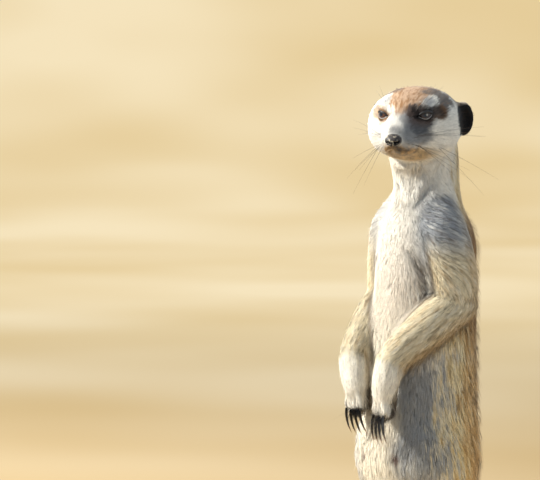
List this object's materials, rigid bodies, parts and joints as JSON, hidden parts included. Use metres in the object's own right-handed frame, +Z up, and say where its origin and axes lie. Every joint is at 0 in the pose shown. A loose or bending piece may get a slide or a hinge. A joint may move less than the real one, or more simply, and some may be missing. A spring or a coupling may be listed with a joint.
{
  "type": "meerkat",
  "caption": "Life-size meerkat standing upright on its hind feet, hands hanging in front of the belly, head turned to its left, tail on the floor behind.",
  "frame": {"origin": "middle of the bounding box, on the floor under the feet", "axes": "+Z up, the animal faces -Y and +X is its left side"},
  "size_m": [0.0808, 0.2516, 0.3064],
  "materials": {
    "coat": "short dense fur, cream below, tan and grizzled on the back",
    "tail": "short tan fur",
    "tail tip": "short black fur",
    "ear": "thin black fur",
    "eye": "wet dark brown",
    "nose": "moist, finely pebbled",
    "claw": "dark horn, paler at the tips"
  },
  "bodies": {
    "root": {"head": "coat", "nose": "nose", "eye_left": "eye", "ear_left": "ear", "eye_right": "eye", "ear_right": "ear", "neck": "coat", "chest": "coat", "belly": "coat", "upper_arm_left": "coat", "forearm_left": "coat", "hand_left": "coat", "claw_hand_left_1": "claw", "claw_hand_left_2": "claw", "claw_hand_left_3": "claw", "claw_hand_left_4": "claw", "thigh_left": "coat", "shank_left": "coat", "foot_left": "coat", "claw_foot_left_1": "claw", "claw_foot_left_2": "claw", "claw_foot_left_3": "claw", "claw_foot_left_4": "claw", "upper_arm_right": "coat", "forearm_right": "coat", "hand_right": "coat", "claw_hand_right_1": "claw", "claw_hand_right_2": "claw", "claw_hand_right_3": "claw", "claw_hand_right_4": "claw", "thigh_right": "coat", "shank_right": "coat", "foot_right": "coat", "claw_foot_right_1": "claw", "claw_foot_right_2": "claw", "claw_foot_right_3": "claw", "claw_foot_right_4": "claw", "tail_root": "tail", "tail_middle": "tail", "tail_low": "tail", "tail_tip": "tail tip"}
  },
  "joints": []
}
